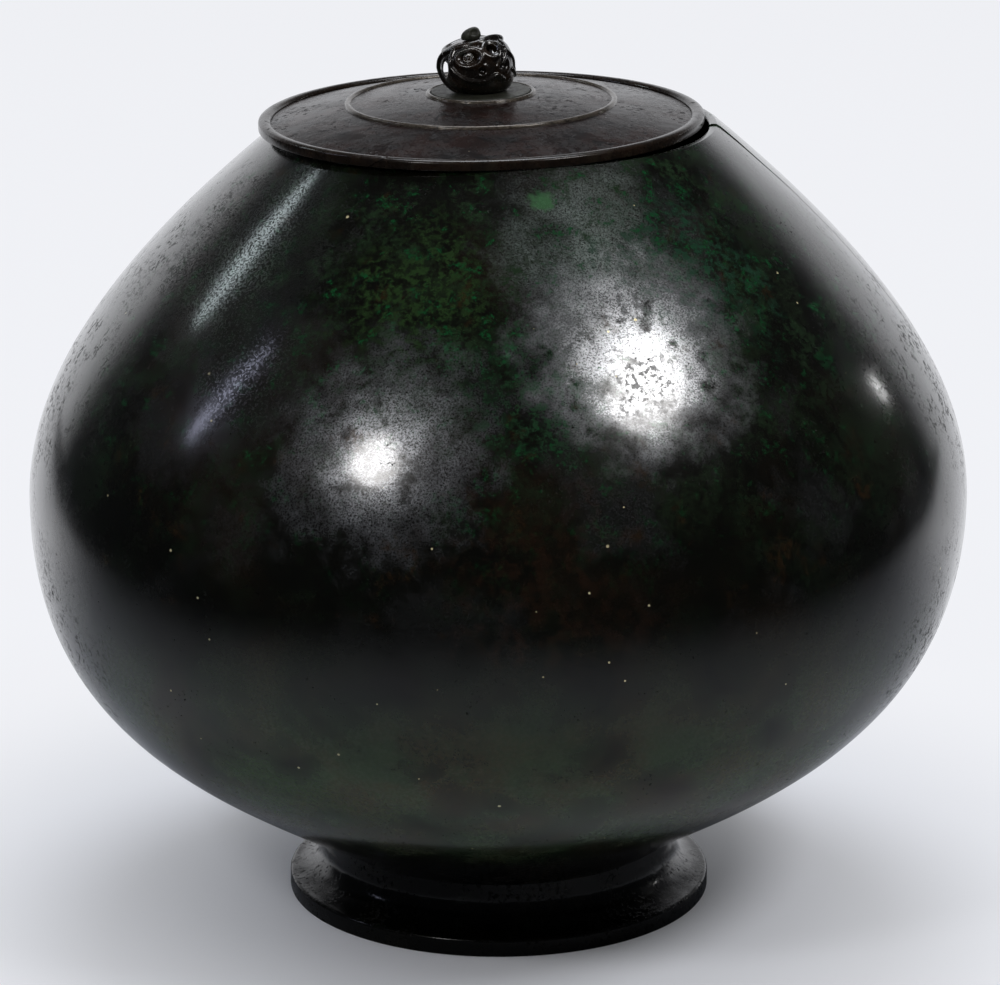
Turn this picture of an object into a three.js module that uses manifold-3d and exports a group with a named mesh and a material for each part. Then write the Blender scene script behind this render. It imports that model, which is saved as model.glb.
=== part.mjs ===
// Bronze lidded urn: a globular vessel on a flared foot, with a lift-off lid and a pierced knob.
// Millimetres, +Z up. The origin is the middle of the foot's rest face.
// The front of the urn faces -Y, with +X to its right.
import * as THREE from "three";
import { mergeVertices } from "three/addons/utils/BufferGeometryUtils.js";
import Module from "manifold-3d";

const wasm = await Module();
wasm.setup();

const { degToRad } = THREE.MathUtils;

// Vessel
const BELLY_RADIUS = 165;
const BELLY_HEIGHT = 148.6;
const MOUTH_RADIUS = 75.5;
const MOUTH_HEIGHT = 279.2;
const SHOULDER_SLOPE = degToRad(40.3);
const BASE_RADIUS = 62;
const BASE_SLOPE = degToRad(33.4);
const WALL = 2;

// How far each end of the two wall curves runs straight before it bends
const SHOULDER_REACH = 40;
const UPPER_BELLY_REACH = 54;
const LOWER_BELLY_REACH = 77.5;
const BASE_REACH = 55;

// Bottom of the vessel, with an opening that a disc closes from inside
const FLOOR = 2.4;
const BASE_LEDGE = 14;
const BASE_PLATE_LAP = 6;
const BASE_PLATE_THICKNESS = 2;

// Foot
const FOOT_HEIGHT = 21.6;
const FOOT_SPREAD = 13.4;
const FOOT_NECK = 5;
const NECK_WALL = 3;
const PLINTH_HEIGHT = 5;
const PLINTH_EDGE = 1.2;
const HOLLOW_TURN = 60;

// Lid plate, a domed sheet with a flat landing in the middle
const LID_SHEET = 1.2;
const DOME_RISE = 9.2;
const LANDING_MARGIN = 1.1;

// Band closed round the lid's edge, which hangs a little below the sheet
const LID_CLEARANCE = 0.7;
const SKIRT_WALL = 0.8;
const SKIRT_DEPTH = 0.7;
const RIM_WIDTH = 4.4;
const RIM_CROWN = 1;
const SCARF_TURN = degToRad(-26);
const SCARF_SLANT = degToRad(30);
const SCARF_GAP = 0.3;

// Wires soldered on the lid
const MID_RING_RADIUS = 46.5;
const MID_RING_WIDTH = 2.8;
const SEAT_RING_RADIUS = 18.4;
const SEAT_RING_WIDTH = 2.2;
const WIRE_CROWN = 0.9;

// How the lid lies: pushed aside, so that its band rides up on the mouth's edge
const LID_SHIFT = 6;
const SEAT_GAP = 0.3;

// Solder film between the pieces of the lid
const FILM = 0.15;

// Knob, a pierced ball cut flat at its base
const KNOB_LENGTH = 26.6;
const KNOB_DEPTH = 25;
const KNOB_CROWN = 10.2;
const KNOB_CUT = 2.2;
const KNOB_LEAN = -1.8;
const KNOB_SHELL = 2.4;
const KNOB_FLOOR = 1.2;
const STEM_RADIUS = 0.8;

// Openings of the knob: turn from the front to the right, rise above its middle, width, height and roll
const KNOB_OPENINGS = [
  { turn: -12, rise: 27, width: 7, height: 4.6, roll: 8 },
  { turn: 31, rise: 42, width: 3.6, height: 3.4, roll: 0 },
  { turn: 46, rise: 6, width: 3.4, height: 2.8, roll: 20 },
  { turn: 10, rise: 1, width: 2.8, height: 2.4, roll: 0 },
  { turn: -56, rise: 8, width: 4, height: 10, roll: -6 },
  { turn: -124, rise: 8, width: 4, height: 10, roll: 6 },
  { turn: 92, rise: 18, width: 4.2, height: 8, roll: 24 },
  { turn: 138, rise: 14, width: 5, height: 6, roll: -18 },
  { turn: 184, rise: 22, width: 6.4, height: 4.8, roll: -8 },
];

// Bud on the knob
const BUD_LENGTH = 7;
const BUD_DEPTH = 5.2;
const BUD_THICKNESS = 4.8;
const BUD_TILT = degToRad(22);
const BUD_SIDE = -1.8;
const BUD_PAD_DEPTH = 0.8;
const BUD_SINK = 0.9;

// Seat disc, tang and washer
const SEAT_THICKNESS = 0.8;
const TANG_RADIUS = 2.4;
const TANG_CLEARANCE = 0.15;
const TANG_DEPTH = 3.4;
const TANG_HEAD_RADIUS = 4;
const TANG_HEAD_HEIGHT = 1.4;
const WASHER_RADIUS = 7;
const WASHER_THICKNESS = 1;

// How finely round forms are cut
const TURN_STEPS = 48;
const SMALL_TURN_STEPS = 24;
const OUTER_CURVE_STEPS = 11;
const INNER_CURVE_STEPS = 6;
const DOME_STEPS = 6;
const ARC_STEPS = 4;
const KNOB_STEPS = 20;
const OPENING_STEPS = 10;
const STEM_STEPS = 4;

// Sizes that follow from the ones above
const skirtInner = MOUTH_RADIUS + LID_CLEARANCE;
const rimRadius = skirtInner + SKIRT_WALL;
const crestRadius = rimRadius - RIM_WIDTH;
const baseOpening = BASE_RADIUS - BASE_LEDGE;
const footRadius = BASE_RADIUS + FOOT_SPREAD;
const tangBore = TANG_RADIUS + TANG_CLEARANCE;
const landingRadius = SEAT_RING_RADIUS + SEAT_RING_WIDTH / 2 + LANDING_MARGIN;
const landingTop = LID_SHEET + domeHeight(landingRadius);
const seatBottom = landingTop + FILM;
const knobBottom = seatBottom + SEAT_THICKNESS + FILM;
const knobCentre = KNOB_CROWN - KNOB_CUT;

// Height of the lid's dome above its rim at a distance from the axis
function domeHeight(radius) {
  const sphere = (crestRadius ** 2 + DOME_RISE ** 2) / (2 * DOME_RISE);
  return radius < crestRadius ? DOME_RISE - sphere + Math.sqrt(sphere ** 2 - radius ** 2) : 0;
}

function point(radius, height) {
  return new THREE.Vector2(radius, height);
}

// A closed outline of radius and height, turned about Z
function turned(outline, steps = TURN_STEPS) {
  return new THREE.LatheGeometry([...outline, outline[0]], steps).rotateX(Math.PI / 2);
}

// Part of an ellipse in an outline, from one angle to another
function arc(centre, across, up, from, to, steps = ARC_STEPS) {
  return Array.from({ length: steps + 1 }, (_, i) => {
    const angle = degToRad(from + ((to - from) * i) / steps);
    return point(centre.x + across * Math.cos(angle), centre.y + up * Math.sin(angle));
  });
}

function solid(geometry) {
  const bare = geometry.clone();
  bare.deleteAttribute("normal");
  bare.deleteAttribute("uv");
  const merged = mergeVertices(bare);
  return new wasm.Manifold(
    new wasm.Mesh({
      numProp: 3,
      vertProperties: merged.attributes.position.array,
      triVerts: new Uint32Array(merged.index.array),
    }),
  );
}

function geometryOf(body) {
  const mesh = body.getMesh();
  const geometry = new THREE.BufferGeometry();
  geometry.setAttribute("position", new THREE.BufferAttribute(mesh.vertProperties, 3));
  geometry.setIndex(new THREE.BufferAttribute(mesh.triVerts, 1));
  geometry.computeVertexNormals();
  return geometry;
}

function piece(name, geometry, color, roughness, metalness = 0.6) {
  const mesh = new THREE.Mesh(geometry, new THREE.MeshStandardMaterial({ color, roughness, metalness }));
  mesh.name = name;
  return mesh;
}

// The vessel's wall from the foot to the mouth, set in from the outside by a thickness
function wallCurve(inset, floor, steps) {
  const mouth = point(MOUTH_RADIUS - inset / Math.sin(SHOULDER_SLOPE), MOUTH_HEIGHT);
  const belly = point(BELLY_RADIUS - inset, BELLY_HEIGHT);
  const baseShift = (floor - inset / Math.cos(BASE_SLOPE)) / Math.tan(BASE_SLOPE);
  const base = point(BASE_RADIUS + baseShift, FOOT_HEIGHT + floor);
  const baseReach = point(Math.cos(BASE_SLOPE), Math.sin(BASE_SLOPE)).multiplyScalar(BASE_REACH);
  const mouthReach = point(Math.cos(SHOULDER_SLOPE), -Math.sin(SHOULDER_SLOPE)).multiplyScalar(SHOULDER_REACH);
  const lower = new THREE.CubicBezierCurve(
    base,
    base.clone().add(baseReach),
    point(belly.x, belly.y - LOWER_BELLY_REACH),
    belly,
  );
  const upper = new THREE.CubicBezierCurve(
    belly,
    point(belly.x, belly.y + UPPER_BELLY_REACH),
    mouth.clone().add(mouthReach),
    mouth,
  );
  return [...lower.getPoints(steps), ...upper.getPoints(steps).slice(1)];
}

function vesselBody() {
  return turned([
    point(baseOpening, FOOT_HEIGHT),
    ...wallCurve(0, 0, OUTER_CURVE_STEPS),
    ...wallCurve(WALL, FLOOR, INNER_CURVE_STEPS).reverse(),
    point(baseOpening, FOOT_HEIGHT + FLOOR),
  ]);
}

function basePlate() {
  const radius = baseOpening + BASE_PLATE_LAP;
  return disc(0, radius, FOOT_HEIGHT + FLOOR, BASE_PLATE_THICKNESS, TURN_STEPS);
}

// A flat disc, with a hole where its inner radius isn't zero
function disc(inner, outer, bottom, thickness, steps) {
  return turned(
    [
      point(inner, bottom),
      point(outer, bottom),
      point(outer, bottom + thickness),
      point(inner, bottom + thickness),
    ],
    steps,
  );
}

// Neck, hollow sweep and low plinth, hollow underneath
function footRing() {
  const middle = point(footRadius - PLINTH_EDGE, FOOT_HEIGHT - FOOT_NECK);
  const sweepWidth = middle.x - BASE_RADIUS;
  const sweepHeight = middle.y - PLINTH_HEIGHT;
  const hollow = arc(middle, sweepWidth + NECK_WALL, sweepHeight + NECK_WALL, 180, 180 + HOLLOW_TURN);
  const edge = point(middle.x, PLINTH_HEIGHT - PLINTH_EDGE);
  return turned([
    point(hollow.at(-1).x, 0),
    point(footRadius - PLINTH_EDGE / 2, 0),
    point(footRadius, PLINTH_EDGE / 2),
    ...arc(edge, PLINTH_EDGE, PLINTH_EDGE, 0, 90),
    ...arc(middle, sweepWidth, sweepHeight, 270, 180, 2 * ARC_STEPS).slice(1),
    point(BASE_RADIUS, FOOT_HEIGHT),
    point(BASE_RADIUS - NECK_WALL, FOOT_HEIGHT),
    ...hollow,
  ]);
}

// The dome's outline at one face of the sheet, from the landing to the rim
function domeOutline(base) {
  return Array.from({ length: DOME_STEPS + 1 }, (_, i) => {
    const radius = THREE.MathUtils.lerp(landingRadius, crestRadius, i / DOME_STEPS);
    return point(radius, base + domeHeight(radius));
  });
}

function lidPlate() {
  const edge = skirtInner - FILM;
  return turned([
    point(tangBore, landingTop - LID_SHEET),
    ...domeOutline(0),
    point(edge, 0),
    point(edge, LID_SHEET),
    ...domeOutline(LID_SHEET).reverse(),
    point(tangBore, landingTop),
  ]);
}

// Half-round band whose ends meet in a slanting joint
function lidRimBand() {
  const bottom = LID_SHEET + FILM;
  const middle = point(rimRadius - RIM_WIDTH / 2, bottom);
  const ring = turned([
    point(skirtInner, -SKIRT_DEPTH),
    point(rimRadius - SKIRT_WALL / 2, -SKIRT_DEPTH),
    point(rimRadius, -SKIRT_DEPTH + SKIRT_WALL / 2),
    ...arc(middle, RIM_WIDTH / 2, RIM_CROWN, 0, 180, 2 * ARC_STEPS),
    point(skirtInner, bottom),
  ]);
  const bandHeight = bottom + RIM_CROWN + SKIRT_DEPTH;
  const saw = new THREE.BoxGeometry((4 * bandHeight) / Math.sin(SCARF_SLANT), 2 * RIM_WIDTH, SCARF_GAP);
  saw.rotateY(-SCARF_SLANT);
  saw.translate(0, -middle.x, 0);
  saw.rotateZ(SCARF_TURN);
  return geometryOf(solid(ring).subtract(solid(saw)));
}

// Half-round wire on the lid, whose two lower corners follow the surface below it
function wireRing(radius, width, surface, steps) {
  const inner = point(radius - width / 2, surface(radius - width / 2) + FILM);
  const outer = point(radius + width / 2, surface(radius + width / 2) + FILM);
  const middle = inner.clone().lerp(outer, 0.5);
  return turned([inner, outer, ...arc(middle, width / 2, WIRE_CROWN, 0, 180).slice(1, -1)], steps);
}

function lidMidRing() {
  return wireRing(MID_RING_RADIUS, MID_RING_WIDTH, (radius) => LID_SHEET + domeHeight(radius), TURN_STEPS);
}

function lidSeatRing() {
  return wireRing(SEAT_RING_RADIUS, SEAT_RING_WIDTH, () => landingTop, SMALL_TURN_STEPS);
}

function finialSeat() {
  const radius = SEAT_RING_RADIUS - SEAT_RING_WIDTH / 2 - FILM;
  return disc(tangBore, radius, seatBottom, SEAT_THICKNESS, SMALL_TURN_STEPS);
}

function ellipsoid(length, depth, height) {
  return new THREE.SphereGeometry(0.5, KNOB_STEPS, Math.round((2 * KNOB_STEPS) / 3)).rotateX(Math.PI / 2).scale(length, depth, height);
}

// Turns a form made along Z so that it points out of the knob at an opening
function aimed(geometry, opening) {
  return geometry
    .rotateZ(degToRad(opening.roll))
    .rotateX(Math.PI / 2 - degToRad(opening.rise))
    .rotateZ(degToRad(opening.turn));
}

// Distance from the knob's middle to its surface along an opening
function knobReach({ turn, rise }) {
  const along = new THREE.Vector3(
    Math.cos(degToRad(rise)) * Math.sin(degToRad(turn)) / (KNOB_LENGTH / 2),
    Math.cos(degToRad(rise)) * Math.cos(degToRad(turn)) / (KNOB_DEPTH / 2),
    Math.sin(degToRad(rise)) / KNOB_CROWN,
  );
  return 1 / along.length();
}

// Ball with a hollow above its solid base, openings ringed by stems, a pad for the bud and a hole for the tang
function finialKnob() {
  const below = -knobCentre;
  const keep = (bottom) => {
    const box = new THREE.BoxGeometry(2 * KNOB_LENGTH, 2 * KNOB_DEPTH, 4 * KNOB_CROWN);
    return solid(box.translate(0, 0, bottom + 2 * KNOB_CROWN));
  };
  let ball = solid(ellipsoid(KNOB_LENGTH, KNOB_DEPTH, 2 * KNOB_CROWN));
  const thinner = 2 * KNOB_SHELL;
  const hollow = ellipsoid(KNOB_LENGTH - thinner, KNOB_DEPTH - thinner, 2 * KNOB_CROWN - thinner);
  ball = ball.subtract(solid(hollow).intersect(keep(below + TANG_DEPTH + KNOB_FLOOR)));
  for (const opening of KNOB_OPENINGS) {
    const reach = knobReach(opening);
    const across = opening.width / 2 + STEM_RADIUS;
    const up = opening.height / 2 + STEM_RADIUS;
    const stem = new THREE.TorusGeometry(across, STEM_RADIUS, STEM_STEPS, OPENING_STEPS);
    stem.scale(1, up / across, 1);
    ball = ball.add(solid(aimed(stem.translate(0, 0, reach - STEM_RADIUS), opening)));
  }
  for (const opening of KNOB_OPENINGS) {
    const reach = knobReach(opening);
    const drill = new THREE.CylinderGeometry(0.5, 0.5, reach, OPENING_STEPS).rotateX(Math.PI / 2);
    drill.scale(opening.width, opening.height, 1).translate(0, 0, reach);
    ball = ball.subtract(solid(aimed(drill, opening)));
  }
  const pad = new THREE.CylinderGeometry(BUD_LENGTH / 2, BUD_LENGTH / 2, KNOB_CROWN, KNOB_STEPS).rotateX(Math.PI / 2);
  pad.translate(BUD_SIDE, 0, KNOB_CROWN * 1.5 - BUD_PAD_DEPTH);
  const bore = new THREE.CylinderGeometry(tangBore, tangBore, 2 * TANG_DEPTH, KNOB_STEPS).rotateX(Math.PI / 2);
  bore.translate(-KNOB_LEAN, 0, below);
  ball = ball.intersect(keep(below)).subtract(solid(pad)).subtract(solid(bore));
  return geometryOf(ball).translate(KNOB_LEAN, 0, knobBottom + knobCentre);
}

// Oval bud, cut flat where it sits on the knob's pad
function finialBud() {
  const form = ellipsoid(BUD_LENGTH, BUD_DEPTH, BUD_THICKNESS).rotateY(-BUD_TILT);
  const cut = new THREE.BoxGeometry(2 * BUD_LENGTH, 2 * BUD_DEPTH, BUD_LENGTH);
  const seat = -BUD_THICKNESS / 2 + BUD_SINK;
  const body = solid(form).subtract(solid(cut.translate(0, 0, seat - BUD_LENGTH / 2)));
  const padHeight = knobBottom + knobCentre + KNOB_CROWN - BUD_PAD_DEPTH;
  return geometryOf(body).translate(KNOB_LEAN + BUD_SIDE, 0, padHeight + FILM - seat);
}

// Rivet from inside the knob to a spread head under the washer
function finialTang() {
  const headTop = landingTop - LID_SHEET - WASHER_THICKNESS - 2 * FILM;
  return turned(
    [
      point(0, headTop - TANG_HEAD_HEIGHT),
      ...arc(point(0, headTop), TANG_HEAD_RADIUS, TANG_HEAD_HEIGHT, -60, 0, 2),
      point(TANG_RADIUS, headTop),
      point(TANG_RADIUS, knobBottom + TANG_DEPTH - FILM),
      point(0, knobBottom + TANG_DEPTH - FILM),
    ],
    SMALL_TURN_STEPS,
  );
}

function tangWasher() {
  const bottom = landingTop - LID_SHEET - WASHER_THICKNESS - FILM;
  return disc(tangBore, WASHER_RADIUS, bottom, WASHER_THICKNESS, SMALL_TURN_STEPS);
}

// The lid lies on the mouth's edge at its left, and its band rides on that edge where the two circles cross
function placeLid(lid) {
  const bearing = MOUTH_RADIUS - LID_SHIFT;
  const crossing = (skirtInner ** 2 - MOUTH_RADIUS ** 2 + LID_SHIFT ** 2) / (2 * LID_SHIFT);
  const tilt = Math.atan((domeHeight(bearing) + SKIRT_DEPTH) / (bearing + crossing));
  const rise = bearing * Math.sin(tilt) - domeHeight(bearing) * Math.cos(tilt);
  lid.rotation.y = -tilt;
  lid.position.set(-LID_SHIFT, 0, MOUTH_HEIGHT + SEAT_GAP + rise);
}

const vessel = new THREE.Group();
vessel.add(piece("vessel_body", vesselBody(), 0x1c241d, 0.35));
vessel.add(piece("base_plate", basePlate(), 0x2a2620, 0.6));
vessel.add(piece("foot_ring", footRing(), 0x141613, 0.3));

const lid = new THREE.Group();
lid.add(piece("lid_plate", lidPlate(), 0x453a36, 0.45));
lid.add(piece("lid_rim_band", lidRimBand(), 0x3a2f2a, 0.3));
lid.add(piece("lid_mid_ring", lidMidRing(), 0x4c463a, 0.4));
lid.add(piece("lid_seat_ring", lidSeatRing(), 0x54503f, 0.4));
lid.add(piece("finial_seat", finialSeat(), 0x4f524a, 0.6));
lid.add(piece("finial_knob", finialKnob(), 0x2c261e, 0.25));
lid.add(piece("finial_bud", finialBud(), 0x494c46, 0.55));
lid.add(piece("finial_tang", finialTang(), 0x6b5a3a, 0.4));
lid.add(piece("tang_washer", tangWasher(), 0x5a4d38, 0.5));
placeLid(lid);

const urn = new THREE.Group();
urn.add(vessel, lid);

export default urn;
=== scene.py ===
import math
from itertools import product

import bpy
import numpy as np
from mathutils import Matrix, Vector, noise


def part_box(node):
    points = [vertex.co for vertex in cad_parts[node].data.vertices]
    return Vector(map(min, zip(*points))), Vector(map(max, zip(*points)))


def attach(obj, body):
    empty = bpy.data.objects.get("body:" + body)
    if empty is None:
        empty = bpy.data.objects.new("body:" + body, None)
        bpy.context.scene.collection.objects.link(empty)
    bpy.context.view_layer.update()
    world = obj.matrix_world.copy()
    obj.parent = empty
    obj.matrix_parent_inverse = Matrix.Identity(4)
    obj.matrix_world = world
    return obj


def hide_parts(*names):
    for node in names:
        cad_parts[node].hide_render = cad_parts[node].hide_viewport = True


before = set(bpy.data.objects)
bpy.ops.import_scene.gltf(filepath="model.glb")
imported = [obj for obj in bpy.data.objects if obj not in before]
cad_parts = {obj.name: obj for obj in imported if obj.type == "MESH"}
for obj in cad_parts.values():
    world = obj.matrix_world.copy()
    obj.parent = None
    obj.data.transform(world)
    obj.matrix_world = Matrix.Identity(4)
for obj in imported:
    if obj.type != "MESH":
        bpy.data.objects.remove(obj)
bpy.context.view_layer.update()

mm = 0.001  # shapes are worked out in millimetres, Blender is in metres
crispAngle = 50  # edges that turn by more degrees than this stay sharp
print("frame loaded:", len(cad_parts), "nodes")


# Nodes and colours

def linear(hexColour):
    # the sRGB curve undone
    parts = [int(hexColour[i:i + 2], 16) / 255 for i in (1, 3, 5)]
    return [p / 12.92 if p <= 0.04045 else ((p + 0.055) / 1.055) ** 2.4 for p in parts] + [1]


def setInputs(tree, made, links):
    # a number or colour is set on the socket itself, and a node gives its first output
    for socket, value in links.items():
        if isinstance(value, bpy.types.Node):
            value = value.outputs[0]
        if isinstance(value, bpy.types.NodeSocket):
            tree.links.new(value, made.inputs[socket])
        else:
            made.inputs[socket].default_value = value


def addNode(tree, kind, links=None, **settings):
    made = tree.nodes.new("ShaderNode" + kind)
    for name, value in settings.items():
        setattr(made, name, value)
    setInputs(tree, made, links or {})
    return made


# Meshes

def gridFaces(rows, columns, closeRows=True, closeColumns=True):
    row = np.arange(rows if closeRows else rows - 1)[:, None]
    column = np.arange(columns if closeColumns else columns - 1)[None, :]
    nextRow = (row + 1) % rows
    nextColumn = (column + 1) % columns
    corners = [(row, column), (row, nextColumn), (nextRow, nextColumn), (nextRow, column)]
    return np.stack([r * columns + c for r, c in corners], -1).reshape(-1, 4).tolist()


def addObject(name, data):
    made = bpy.data.objects.new(name, data)
    bpy.context.scene.collection.objects.link(made)
    return made


def smoothMesh(name, points, faces, material):
    mesh = bpy.data.meshes.new(name)
    mesh.from_pydata((np.asarray(points).reshape(-1, 3) * mm).tolist(), [], faces)
    mesh.polygons.foreach_set("use_smooth", [True] * len(mesh.polygons))
    mesh.materials.append(material)
    return mesh


def addPiece(name, points, faces, material, body, slot, *nodes):
    mesh = smoothMesh(name, points, faces, material)
    mesh.set_sharp_from_angle(angle=math.radians(crispAngle))
    piece = addObject(name, mesh)
    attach(piece, body)
    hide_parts(*nodes)
    print("made", name, "with", len(mesh.polygons), "faces")


def arc(centre, across, up, start, end, steps):
    angle = np.radians(np.linspace(start, end, steps + 1))
    return np.stack([centre[0] + across * np.cos(angle), centre[1] + up * np.sin(angle)], -1)


def bezier(ends, steps):
    a, b, c, d = (np.asarray(p, float) for p in ends)
    t = np.linspace(0, 1, steps + 1)[:, None]
    return (1 - t) ** 3 * a + 3 * (1 - t) ** 2 * t * b + 3 * (1 - t) * t ** 2 * c + t ** 3 * d


# An outline of radius and height, listed counter-clockwise, turned about the Z axis
def turned(outline, columns):
    angle = np.arange(columns) * 2 * math.pi / columns
    radius, height = np.asarray(outline, float).T[:, :, None]
    return np.stack([radius * np.cos(angle), radius * np.sin(angle), height + 0 * angle], -1)


def roll(points, size, depth, seed):
    # soft unevenness left by handwork: a size of swell in millimetres and how far it stands out
    shift = Vector((seed, 2 * seed, 3 * seed))
    return np.array([noise.noise(Vector(p) / size + shift) for p in points.reshape(-1, 3)]).reshape(
        points.shape[:-1]) * depth


def outward(points):
    # unit normals of a closed grid of points
    along = np.roll(points, -1, 1) - np.roll(points, 1, 1)
    across = np.roll(points, -1, 0) - np.roll(points, 1, 0)
    normal = np.cross(along, across)
    return normal / np.maximum(np.linalg.norm(normal, axis=-1, keepdims=True), 1e-9)


# Fields: a piece is where its field is below zero, in millimetres

def smoothJoin(a, b, blend):
    share = np.clip(0.5 + 0.5 * (b - a) / blend, 0, 1)
    return b + (a - b) * share - blend * share * (1 - share)


def smoothCut(a, b, blend):
    return -smoothJoin(-a, b, blend)


def fieldGrid(low, high, step):
    axes = [np.arange(a, b, step) for a, b in zip(low, high)]
    return np.stack(np.meshgrid(*axes, indexing="ij"), -1)


# Quads through the cells where the field changes sign
def fieldSurface(field, low, step):
    inside = field < 0
    size = np.array(field.shape) - 1
    window = lambda offset: tuple(slice(o, o + s) for o, s in zip(offset, size))
    filled = sum(inside[window(o)].astype(int) for o in product((0, 1), repeat=3))
    mixed = (filled > 0) & (filled < 8)
    index = np.full(size, -1)
    index[mixed] = np.arange(mixed.sum())
    cells = np.argwhere(mixed)
    total, count = np.zeros((len(cells), 3)), np.zeros(len(cells))
    for start, end in product(product((0, 1), repeat=3), repeat=2):
        if sum(end) - sum(start) != 1 or sum(abs(a - b) for a, b in zip(start, end)) != 1:
            continue
        a = field[tuple((cells + start).T)]
        b = field[tuple((cells + end).T)]
        crossed = (a < 0) != (b < 0)
        share = np.where(crossed, a / np.where(crossed, a - b, 1), 0)[:, None]
        total += crossed[:, None] * (np.array(start) + share * (np.array(end) - np.array(start)))
        count += crossed
    points = np.asarray(low) + step * (cells + total / count[:, None])
    faces = []
    for axis in range(3):
        one, two = np.eye(3, dtype=int)[[(axis + 1) % 3, (axis + 2) % 3]]
        ahead = [slice(0, n - 1) if i == axis else slice(1, n - 1) for i, n in enumerate(field.shape)]
        after = [slice(1, n) if i == axis else slice(1, n - 1) for i, n in enumerate(field.shape)]
        starts = np.argwhere(inside[tuple(ahead)] != inside[tuple(after)])
        starts += [0 if i == axis else 1 for i in range(3)]
        quads = np.stack([index[tuple((starts - shift).T)] for shift in (0 * one, one, one + two, two)], -1)
        leaving = inside[tuple(starts.T)]
        faces += np.where(leaving[:, None], quads, quads[:, ::-1]).tolist()
    return points, faces


# Finishes

softStep = {"interpolation_type": "SMOOTHSTEP"}
colourMix = {"data_type": "RGBA"}
patchSwirl = 0.2
edgeNoise = {"Detail": 6, "Roughness": 0.68}
grainNoise = {"Detail": 2, "Roughness": 0.6}
rippleNoise = {"Detail": 3, "Roughness": 0.55}
bareGrain = 0.3  # share of the grain that shows where the film is off
leastSpeck = 0.5  # smallest speck against the largest
waxIor = 1.44  # beeswax


# Cloudy patches: their size in millimetres and the levels of the noise where they start and are full
def patch(size, none, full, breakup=0.6, detail=5):
    return {"size": size, "none": none, "full": full, "breakup": breakup, "detail": detail}


# A stain round one place: its radius, the size of the noise at its edge, how soft that edge is and
# how far the noise breaks it
def spot(place, radius, ragged, soft=0.4, broken=1):
    return {"place": place, "radius": radius, "ragged": ragged, "soft": soft, "broken": broken}


def patchMask(tree, where, mask):
    cloud = addNode(tree, "TexNoise", {
        "Vector": where, "Scale": 1 / (mask["size"] * mm), "Detail": mask["detail"],
        "Roughness": mask["breakup"], "Distortion": patchSwirl})
    return addNode(tree, "MapRange", {
        "Value": cloud, "From Min": mask["none"], "From Max": mask["full"]}, **softStep)


def spotMask(tree, where, mask):
    ragged = addNode(tree, "TexNoise", {"Vector": where, "Scale": 1 / (mask["ragged"] * mm), **edgeNoise})
    away = addNode(tree, "VectorMath", {0: where, 1: Vector(mask["place"]) * mm}, operation="DISTANCE")
    across, broken = 2 * mask["radius"] * mm, mask["broken"]
    reach = addNode(tree, "Math", {0: ragged, 1: across * broken, 2: away.outputs["Value"]},
                    operation="MULTIPLY_ADD")
    edge = across * (1 + broken) / 2
    return addNode(tree, "MapRange", {
        "Value": reach, "From Min": edge, "From Max": edge - across * mask["soft"]}, **softStep)


def heightMask(tree, where, mask):
    height = addNode(tree, "SeparateXYZ", {0: where}).outputs["Z"]
    return addNode(tree, "MapRange", {
        "Value": height, "From Min": mask["none"] * mm, "From Max": mask["full"] * mm}, **softStep)


def layerMask(tree, where, layer):
    # a layer shows where all of its masks are on
    total = layer.get("weight", 1.0)
    for mask in layer["masks"]:
        made = spotMask if "place" in mask else patchMask if "size" in mask else heightMask
        total = addNode(tree, "Math", {0: made(tree, where, mask), 1: total}, operation="MULTIPLY")
    return total


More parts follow.
